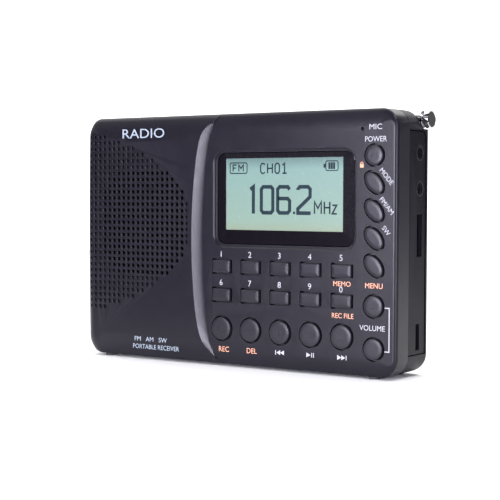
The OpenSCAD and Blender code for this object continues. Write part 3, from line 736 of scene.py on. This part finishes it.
def slab(name, outlines, y, thickness):
    """Thin solid plates from closed outlines in the front plane, standing proud of a depth."""
    verts, faces = [], []
    for points in outlines:
        base, n = len(verts), len(points)
        verts += [(x, y, z) for x, z in points] + [(x, y - thickness, z) for x, z in points]
        faces.append(tuple(base + i for i in range(n)))
        faces.append(tuple(base + n + i for i in range(n)))
        for i in range(n):
            j = (i + 1) % n
            faces.append((base + i, base + j, base + n + j, base + n + i))
    return new_object(name, verts, faces, 20)


def ribbon(points, width, closed=False):
    """Quads along a polyline with mitred corners; each is a closed outline."""
    n = len(points)
    sides = []
    for i, (x, z) in enumerate(points):
        before = points[i - 1] if (i or closed) else None
        after = points[(i + 1) % n] if (i < n - 1 or closed) else None
        directions = []
        for a, b in ((before, (x, z)), ((x, z), after)):
            if a and b:
                size = math.hypot(b[0] - a[0], b[1] - a[1])
                directions.append(((b[0] - a[0]) / size, (b[1] - a[1]) / size))
        dx, dz = sum(d[0] for d in directions), sum(d[1] for d in directions)
        size = math.hypot(dx, dz)
        dx, dz = dx / size, dz / size
        reach = width / 2 / max(0.4, abs(dx * directions[0][0] + dz * directions[0][1]))
        sides.append(((x - dz * reach, z + dx * reach), (x + dz * reach, z - dx * reach)))
    quads = []
    for i in range(n if closed else n - 1):
        a, b = sides[i], sides[(i + 1) % n]
        quads.append([a[0], b[0], b[1], a[1]])
    return quads


def lettering(name, text, x, z, height, y, tilt=0.0, wide=1.0, thickness=INK):
    """Generic lettering as a thin solid print, centred on a point of the front plane."""
    curve = bpy.data.curves.new(name, "FONT")
    curve.body = text
    curve.align_x, curve.align_y = "CENTER", "CENTER"
    curve.size = height * 1.42 * MM
    curve.extrude = thickness / 2 * MM
    curve.resolution_u = 4
    obj = bpy.data.objects.new(name, curve)
    bpy.context.collection.objects.link(obj)
    bpy.context.view_layer.update()
    mesh = bpy.data.meshes.new_from_object(obj.evaluated_get(bpy.context.evaluated_depsgraph_get()))
    bpy.data.objects.remove(obj)
    across, up = [v.co.x for v in mesh.vertices], [v.co.y for v in mesh.vertices]
    middle = (-(min(across) + max(across)) / 2, -(min(up) + max(up)) / 2, 0)
    mesh.transform(Matrix.Translation(middle))
    turn = Matrix.Rotation(math.radians(-tilt), 4, "Y") @ Matrix.Rotation(math.radians(90), 4, "X")
    spot = Matrix.Translation((x * MM, (y - thickness / 2) * MM, z * MM))
    mesh.transform(spot @ turn @ Matrix.Diagonal((wide, 1, 1, 1)))
    result = bpy.data.objects.new(name, mesh)
    bpy.context.collection.objects.link(result)
    shade(result, 20)
    return result


def arrow(base_x, tip_x, z, half):
    """Triangle that points from its base to its tip."""
    return [(tip_x, z), (base_x, z + half), (base_x, z - half)]


def upright(x, z, half, width):
    """Upright bar."""
    return ribbon([(x, z - half), (x, z + half)], width)[0]


def legends(white, peach, steel):
    """Printed names beside the keys, all of them generic."""
    y = FRONT
    rows = {name: centre(name) for name in NUMBER_KEYS + DECK_KEYS}
    pale, warm = [], []
    for digit, name in enumerate(NUMBER_KEYS, 1):
        x, z = rows[name]
        lift = 3.95 if digit < 10 else 3.5
        text = str(digit % 10)
        pale.append(lettering("digit_" + text, text, x - 0.35, z + lift, 1.85, y))
    x0, z0 = rows["key_0"]
    warm.append(lettering("memo", "MEMO", x0, z0 + 5.2, 1.5, y, wide=1.02))
    warm.append(lettering("rec_file", "REC FILE", x0 + 0.3, z0 - 4.4, 1.5, y, wide=0.95))
    deck_z = rows["key_record"][1] - 6.55
    rec_x, del_x = rows["key_record"][0] + 0.8, rows["key_delete"][0] + 0.5
    warm.append(lettering("rec", "REC", rec_x, deck_z, 1.65, y, wide=0.98))
    warm.append(lettering("del", "DEL", del_x, deck_z + 0.1, 1.65, y, wide=0.98))
    menu = centre("key_menu")
    up, down = centre("key_volume_up"), centre("key_volume_down")
    warm.append(lettering("menu", "MENU", menu[0], menu[1] - 5.85, 1.6, y, wide=0.98))
    middle = (up[1] + down[1]) / 2
    pale.append(lettering("volume", "VOLUME", up[0] - 0.5, middle - 0.1, 1.6, y, wide=0.97))
    power = centre("key_power")
    pale.append(lettering("power", "POWER", power[0] + 0.4, power[1] + 4.8, 1.6, y, wide=0.94))
    pale.append(lettering("mic", "MIC", power[0] + 0.3, power[1] + 8.4, 1.6, y, wide=1.15))
    oval_names = (
        ("MODE", "key_mode", 4.05, 1.85),
        ("FM/AM", "key_band", 4.15, 1.45),
        ("SW", "key_shortwave", 4.0, 2.3),
    )
    for text, name, dx, dz in oval_names:
        x, z = centre(name)
        tilt = -OVAL_TILT - 2
        pale.append(lettering("name_" + name, text, x + dx, z + dz, 1.5, y, tilt=tilt, wide=0.98))
    x, z = rows["key_previous"][0], deck_z + 0.3
    bars = [upright(x - 1.6, z, 0.7, 0.28)]
    bars += [arrow(x + 0.1, x - 1.3, z, 0.75), arrow(x + 1.5, x + 0.1, z, 0.75)]
    x = rows["key_play_pause"][0]
    bars += [arrow(x - 1.4, x + 0.1, z, 0.75)]
    bars += [upright(x + d, z, 0.7, 0.26) for d in (0.5, 1.15)]
    x = rows["key_next"][0]
    bars += [arrow(x - 1.5, x - 0.1, z, 0.75), arrow(x - 0.1, x + 1.3, z, 0.75)]
    bars += [upright(x + 1.6, z, 0.7, 0.28)]
    near, top, bottom = up[0] + 3.7, up[1] - 0.3, down[1] - 0.5
    bars += ribbon([(near, top), (near + 1.5, top), (near + 1.5, bottom), (near, bottom)], 0.3)
    pale.append(slab("signs", bars, y, INK))
    x, z = power[0] - 4.3, power[1] - 3.1
    shackle = [(-0.38, 0.45), (-0.38, 0.9), (0, 1.15), (0.38, 0.9), (0.38, 0.45)]
    lock = [rect_points(x, z, 1.25, 1.0, 0.15, 3)]
    lock += ribbon([(x + a, z + b) for a, b in shackle], 0.2)
    warm.append(slab("lock", lock, y, INK))
    place(join("printed_names", pale, 20), "case", white, "panel")
    place(join("printed_names_warm", warm, 20), "case", peach, "panel")
    face = FRONT - RISE
    title = [
        lettering("title", "RADIO", -34.3, TOP - 5.5, 3.1, face, wide=1.35),
        lettering("bands", "FM   AM   SW", -31.2, BOTTOM + 6.1, 1.5, face, wide=1.1),
        lettering("kind", "PORTABLE RECEIVER", -29.0, BOTTOM + 3.6, 1.5, face, wide=0.98),
    ]
    place(join("printed_title", title, 20), "case", steel, "panel")


def sign_shapes(name, x, z):
    """Outlines of the sign on one round key."""
    if name == "key_previous":
        return [arrow(x, x - 1.5, z, 0.8), arrow(x + 1.5, x, z, 0.8)]
    if name == "key_play_pause":
        return [arrow(x - 1.5, x, z, 0.8)] + [upright(x + d, z, 0.8, 0.3) for d in (0.6, 1.3)]
    if name == "key_next":
        return [arrow(x - 1.5, x, z, 0.8), arrow(x, x + 1.5, z, 0.8)]
    if name == "key_power":
        turns = [math.radians(a) for a in range(35, 326, 15)]
        arc = [(x + 1.05 * math.sin(t), z + 1.05 * math.cos(t)) for t in turns]
        return ribbon(arc, 0.28) + ribbon([(x, z + 0.2), (x, z + 1.3)], 0.28)
    if name == "key_volume_up":
        long, thin = 0.95, 0.16
        arms = [(thin, long), (thin, thin), (long, thin)]
        half = arms + [(a, -b) for a, b in reversed(arms)]
        return [[(x + a, z + b) for a, b in half] + [(x - a, z + b) for a, b in reversed(half)]]
    return [rect_points(x, z, 1.9, 0.32, 0.1, 3)]


def key_signs(material):
    """Shallow raised signs on the faces of the round keys."""
    words = {"key_record": "REC", "key_delete": "DEL"}
    for name in DECK_KEYS + ["key_power"] + VOLUME_KEYS:
        x, z = centre(name)
        y = span(name)[0][1] + 0.11
        if name in words:
            sign = lettering("sign", words[name], x, z, 1.4, y, thickness=SIGN)
        else:
            sign = slab("sign", sign_shapes(name, x, z), y, SIGN)
        sign.name = name + "_sign"
        place(sign, name, material, "keys")


def window_border(material):
    """Glossy black window: a plate with the opening for the lit area and a fine bevel round it."""
    x, z = (WINDOW_LO[0] + WINDOW_HI[0]) / 2, (WINDOW_LO[2] + WINDOW_HI[2]) / 2
    w, h = WINDOW_HI[0] - WINDOW_LO[0], WINDOW_HI[2] - WINDOW_LO[2]
    front, rear = WINDOW_LO[1], WINDOW_HI[1]
    a, b, lit_w, lit_h = lit_area()
    rings = [
        at_y(rect_points(x, z, w, h, 3.0, 9), rear),
        at_y(rect_points(x, z, w, h, 3.0, 9), front + 0.25),
        at_y(rect_points(x, z, w - 0.25, h - 0.25, 2.9, 9), front + 0.06),
        at_y(rect_points(x, z, w - 0.5, h - 0.5, 2.8, 9), front),
        at_y(rect_points(a, b, lit_w + 0.1, lit_h + 0.1, 0.25, 9), front),
        at_y(rect_points(a, b, lit_w, lit_h, 0.2, 9), front + 0.05),
        at_y(rect_points(a, b, lit_w, lit_h, 0.2, 9), rear),
    ]
    border = loft("window_border", rings, close=True, smooth=25)
    place(weighted(border), "case", material, "window", "display_window")


def lit_area():
    """Middle and size of the display's lit area."""
    x, z = (WINDOW_LO[0] + WINDOW_HI[0]) / 2, (WINDOW_LO[2] + WINDOW_HI[2]) / 2
    return x - 0.6, z + 1.35, 42.9, 22.5


def display(screen, ink):
    """Lit display with a generic reading in dark segments."""
    x, z, w, h = lit_area()
    y = WINDOW_LO[1] + 0.12
    edge = rect_points(x, z, w + 0.4, h + 0.4, 0.3, 4)
    pane = loft("display_picture", [at_y(edge, y + 0.5), at_y(edge, y)])
    place(pane, "case", screen, "lcd")
    low, high = z - 5.75, z + 2.3

    def glyph(left, wide, stroke, closed=False, bottom=low, top=high, width=DIGIT_STROKE):
        """One stroke on a grid from 0 to 1 across and from 0 to 1 up."""
        spots = [(left + wide * u, bottom + (top - bottom) * v) for u, v in stroke]
        return ribbon(spots, width, closed)

    c, d = 0.16, 0.09
    box = [(0, d), (c, 0), (1 - c, 0), (1, d), (1, 1 - d), (1 - c, 1), (c, 1), (0, 1 - d)]
    curl = [(1, 0.9), (1 - c, 1), (c, 1), (0, 1 - d), (0, d), (c, 0), (1 - c, 0), (1, d)]
    curl += [(1, 0.46), (1 - c, 0.55), (0.04, 0.55)]
    swan = [(0, 0.88), (0, 1 - d), (c, 1), (1 - c, 1), (1, 1 - d), (1, 0.62), (0, 0.16), (0, 0), (1.05, 0)]
    reading = glyph(x - 8.1, 4.3, box, True) + glyph(x - 12.3, 1.2, [(0, 0.9), (1, 1.0), (1, -0.04)])
    reading += glyph(x - 2.0, 4.4, curl) + glyph(x + 5.4, 4.4, swan)
    reading += [rect_points(x + 4.05, low + 0.05, 0.75, 0.8, 0.1, 3)]
    letter_m = [(0, 0), (0, 1), (0.5, 0.45), (1, 1), (1, 0)]
    sides = ([(0, 0), (0, 1)], [(1, 0), (1, 1)])
    line = dict(bottom=low - 0.15, top=low + 3.5, width=UNIT_STROKE)
    reading += glyph(x + 11.4, 2.4, letter_m, **line)
    for stroke in (*sides, [(0, 0.52), (1, 0.52)]):
        reading += glyph(x + 14.9, 1.9, stroke, **line)
    reading += glyph(x + 17.7, 1.5, [(0, 0.72), (1, 0.72), (0, 0.02), (1.05, 0.02)], **line)
    line = dict(bottom=z + 6.5, top=z + 9.55, width=0.46)
    hook = [(1, 0.88), (0.7, 1), (0.3, 1), (0, 0.8), (0, 0.2), (0.3, 0), (0.7, 0), (1, 0.12)]
    ring = [(0.25, 0), (0, 0.2), (0, 0.8), (0.25, 1), (0.75, 1), (1, 0.8), (1, 0.2), (0.75, 0)]
    reading += glyph(x - 8.4, 1.6, hook, **line)
    for stroke in (*sides, [(0, 0.5), (1, 0.5)]):
        reading += glyph(x - 5.8, 1.8, stroke, **line)
    reading += glyph(x - 3.0, 1.6, ring, closed=True, **line)
    reading += glyph(x - 0.3, 0.8, [(0, 0.8), (1, 1), (1, 0)], **line)
    reading += glyph(x - 0.3, 1.6, [(0, 0), (1, 0)], **line)
    reading += ribbon(rect_points(x - 16.8, z + 8.2, 6.5, 3.3, 0.5, 3), 0.34, True)
    line = dict(bottom=z + 7.2, top=z + 9.2, width=0.42)
    reading += glyph(x - 18.9, 1.2, [(1.1, 1), (0, 1), (0, 0)], **line)
    reading += glyph(x - 18.9, 1.0, [(0, 0.52), (1, 0.52)], **line)
    reading += glyph(x - 16.7, 1.7, letter_m, **line)
    reading += ribbon(rect_points(x + 17.5, z + 8.65, 4.3, 2.9, 0.5, 3), 0.3, True)
    reading += [rect_points(x + 14.9, z + 8.65, 0.7, 1.2, 0.15, 3)]
    reading += [rect_points(x + 16.6 + 0.82 * k, z + 8.65, 0.7, 2.0, 0.05, 3) for k in range(3)]
    place(slab("display_reading", reading, y, 0.03), "case", ink, "lcd")


# ---------------------------------------------------------------- side, antenna and rear


def port_plate(material, gap=0.2, corner=2.5):
    """Side port plate, drawn in from its opening so that a dark gap line runs round it."""
    lo, hi = span("side_port_plate")
    mid_y, mid_z = hi[1] - corner, hi[2] - corner
    obj = new_object("port_plate", *faces_of("side_port_plate"), smooth=30)
    for v in obj.data.vertices:
        y, z = v.co.y / MM, v.co.z / MM
        reach = math.hypot(y - mid_y, z - mid_z)
        if y > mid_y + 0.01 and z > mid_z + 0.01 and reach > corner - 0.3:
            y = mid_y + (y - mid_y) * (reach - gap) / reach
            z = mid_z + (z - mid_z) * (reach - gap) / reach
        else:
            y += gap * (y < lo[1] + 0.01) - gap * (y > hi[1] - 0.01)
            z += gap * (z < lo[2] + 0.01) - gap * (z > hi[2] - 0.01)
        v.co.y, v.co.z = y * MM, z * MM
    place(obj, "case", material, "shell", "side_port_plate")
    bevelled(obj, 0.12)


def faces_of(node):
    """Corners in millimetres and faces of a CAD node."""
    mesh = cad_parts[node].data
    return [tuple(v.co / MM) for v in mesh.vertices], [tuple(p.vertices) for p in mesh.polygons]


def tip_knob(material):
    """Tip rod with its turned knob: thin cone behind, bright bevelled rim and a dished face."""
    lo, hi = span("antenna_tip_rod")
    r = (hi[2] - lo[2]) / 2
    y, z = (lo[1] + hi[1]) / 2, (lo[2] + hi[2]) / 2
    corners = [v.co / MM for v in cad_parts["antenna_tip_rod"].data.vertices]
    tip = [v for v in corners if v.x < lo[0] + 1]
    rod = max(math.hypot(v.y - y, v.z - z) for v in tip)
    start, end = hi[0] - KNOB_LENGTH, hi[0]
    profile = [(lo[0], rod - 0.15), (lo[0] + 0.15, rod), (start - 0.12, rod), (start, rod + 0.12)]
    profile += [(start, r - 0.35), (start + 0.08, r - 0.15), (start + 0.28, r), (end - 0.25, r)]
    profile += [(end - 0.1, r - 0.06), (end - 0.02, r - 0.18), (end, r - 0.26), (end - 0.04, r - 0.34)]
    profile += [(end - 0.1, r - 0.4), (end - 0.12, r - 1.2), (end - 0.12, 0.4)]
    knob = tube_x("tip_knob", y, z, profile, 56, 25)
    place(weighted(knob), "antenna_tip_rod", material, "chrome", "antenna_tip_rod")


# ---------------------------------------------------------------- the whole object


def paint_cad(node, material):
    """Gives a CAD node that keeps its own shape a better material."""
    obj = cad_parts[node]
    obj.data.materials.clear()
    obj.data.materials.append(material)


def lcd_screen():
    """Backlit liquid crystal: pale teal, warmer and brighter towards its lower edge, with painted shadow of
    the window border darkening its top edge.
    """
    m = Nodes("lcd_screen")
    split = m.add("ShaderNodeSeparateXYZ")
    m.link(m.coords, split.inputs[0])
    place_z = m.add("ShaderNodeMapRange")
    _, b, _, h = lit_area()
    place_z.inputs["From Min"].default_value = (b - h / 2) * MM
    place_z.inputs["From Max"].default_value = (b + h / 2) * MM
    m.link(split.outputs["Z"], place_z.inputs["Value"])
    stops = [(0.0, (0.42, 0.5, 0.3)), (0.14, (0.38, 0.57, 0.45))]
    # The last stop darkens the glow along the top edge: painted shadow of the window border.
    stops += [(0.84, (0.3, 0.54, 0.51)), (0.99, (0.08, 0.2, 0.2))]
    glow = m.ramp(place_z.outputs["Result"], stops)
    m.link(glow, m.shader.inputs["Emission Color"])
    m.shader.inputs["Emission Strength"].default_value = 0.6
    body = m.ramp(m.noise(1500, 3), [(0.3, (0.07, 0.1, 0.09)), (0.7, (0.09, 0.12, 0.11))])
    m.link(body, m.shader.inputs["Base Color"])
    m.link(m.grey(m.noise(400, 3), 0.22, 0.3), m.shader.inputs["Roughness"])
    m.link(m.bump(m.noise(6000, 2), 0.002), m.shader.inputs["Normal"])
    m.shader.inputs["Coat Weight"].default_value = 0.5
    m.shader.inputs["Coat Roughness"].default_value = 0.06
    return m.material


def board_laminate():
    """Green circuit board with faint tracks under the lacquer."""
    m = Nodes("board_laminate")
    cells = m.add("ShaderNodeTexVoronoi", Scale=700)
    m.link(m.coords, cells.inputs["Vector"])
    greens = [(0.2, (0.012, 0.075, 0.03)), (0.6, (0.02, 0.11, 0.045))]
    m.link(m.ramp(cells.outputs["Distance"], greens), m.shader.inputs["Base Color"])
    m.link(m.grey(m.noise(500, 3), 0.25, 0.4), m.shader.inputs["Roughness"])
    m.link(m.bump(cells.outputs["Distance"], 0.02), m.shader.inputs["Normal"])
    return m.material


def foil():
    """Printed wrap of the flat battery, slightly creased."""
    m = Nodes("battery_wrap")
    creases = m.noise(180, 5, 0.7)
    blues = [(0.3, (0.03, 0.1, 0.3)), (0.7, (0.04, 0.14, 0.38))]
    m.link(m.ramp(creases, blues), m.shader.inputs["Base Color"])
    m.link(m.grey(creases, 0.25, 0.45), m.shader.inputs["Roughness"])
    m.link(m.bump(creases, 0.05), m.shader.inputs["Normal"])
    return m.material


def fibre(name, colour, scale=1500, height=0.06):
    """Woven or pressed fibre."""
    m = Nodes(name)
    weave = m.noise(scale, 6, 0.8)
    deep = tuple(c * 0.7 for c in colour)
    m.link(m.ramp(weave, [(0.3, deep), (0.7, colour)]), m.shader.inputs["Base Color"])
    m.link(m.grey(weave, 0.8, 0.95), m.shader.inputs["Roughness"])
    m.link(m.bump(weave, height), m.shader.inputs["Normal"])
    return m.material


def bevelled(obj, width_mm):
    """Small bevel on sharp edges, so that moulded pieces don't show knife edges."""
    mod = obj.modifiers.new("edges", "BEVEL")
    mod.width = width_mm * MM
    mod.segments = 2
    mod.limit_method = "ANGLE"
    mod.angle_limit = math.radians(35)
    mod.harden_normals = False
    shine = obj.modifiers.new("normals", "WEIGHTED_NORMAL")
    shine.keep_sharp = True


PLAIN = {
    "back_shell": "shell", "side_port_plate": "plate", "battery_door": "shell", "kickstand": "shell",
    "lcd_glass": "glass", "lcd_backlight": "paper", "key_board": "board", "main_board": "board",
    "key_switches": "steel", "board_components": "chip", "speaker_frame": "steel", "speaker_cone": "paper",
    "speaker_magnet": "ferrite", "speaker_cloth": "felt", "battery": "foil", "battery_contacts": "gold",
    "headphone_jack": "dark", "line_in_jack": "dark", "card_socket": "steel", "usb_socket": "steel",
    "microphone": "steel", "ferrite_rod": "ferrite", "ferrite_coil": "copper", "case_screws": "screw",
    "board_screws": "steel", "feet": "rubber", "antenna_bracket": "steel",
}


def finishes():
    """Materials by name."""
    return {
        "shell": SHELL,
        "plate": plastic("plate_plastic", (0.0065, 0.006, 0.009), 0.36, grain=0.012, shine=0.1),
        "glass": plastic("glass_back", (0.05, 0.07, 0.065), 0.15, grain=0.0),
        "paper": fibre("pressed_paper", (0.35, 0.33, 0.28)),
        "board": board_laminate(),
        "steel": metal("steel", (0.55, 0.55, 0.56), 0.3),
        "screw": metal("blackened_steel", (0.09, 0.09, 0.095), 0.35),
        "chip": plastic("chip_plastic", (0.02, 0.02, 0.02), 0.5, grain=0.03),
        "ferrite": fibre("ferrite", (0.06, 0.055, 0.055), 2500, 0.02),
        "felt": fibre("felt", (0.02, 0.02, 0.021), 2200, 0.1),
        "foil": foil(),
        "gold": metal("gold_plate", (0.8, 0.6, 0.25), 0.2),
        "dark": plastic("socket_plastic", (0.013, 0.0125, 0.0155), 0.2, grain=0.005, shine=0.9),
        "copper": metal("enamelled_copper", (0.6, 0.25, 0.1), 0.3, stretch=(9, 1, 1)),
        "rubber": plastic("rubber", (0.02, 0.02, 0.021), 0.75, grain=0.05),
    }


camera()
studio()
PANEL = plastic("panel_plastic", (0.008, 0.0072, 0.0118), 0.3, shine=0.24)
SHELL = plastic("shell_plastic", (0.0075, 0.0068, 0.0105), 0.42, shine=0.12)
KEYS = plastic("key_plastic", (0.014, 0.013, 0.0185), 0.32, shine=0.29)
WINDOW = plastic("window_plastic", (0.004, 0.003, 0.0055), 0.12, grain=0.0, shine=0.35)
CHROME = metal("chrome", (0.56, 0.56, 0.58), 0.09, stretch=(0.05, 1, 1))
front_cover(PANEL)
keys(KEYS)
legends(
    print_ink("white_ink", (0.5, 0.5, 0.53)),
    print_ink("peach_ink", (0.85, 0.42, 0.27)),
    print_ink("steel_ink", (0.36, 0.42, 0.48)),
)
key_signs(KEYS)
window_border(WINDOW)
display(lcd_screen(), print_ink("segment_ink", (0.004, 0.018, 0.026)))
FINISH = finishes()
for node, finish in PLAIN.items():
    paint_cad(node, FINISH[finish])
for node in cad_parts:
    if node.startswith("antenna") and node not in PLAIN:
        paint_cad(node, CHROME)
tip_knob(CHROME)
port_plate(FINISH["plate"])
for node, width in (
    ("battery_door", 0.2), ("kickstand", 0.25), ("back_shell", 0.15),
    ("antenna_swivel", 0.15), ("antenna_tube_1", 0.12), ("feet", 0.15),
    ("headphone_jack", 0.2), ("line_in_jack", 0.2),
):
    bevelled(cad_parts[node], width)
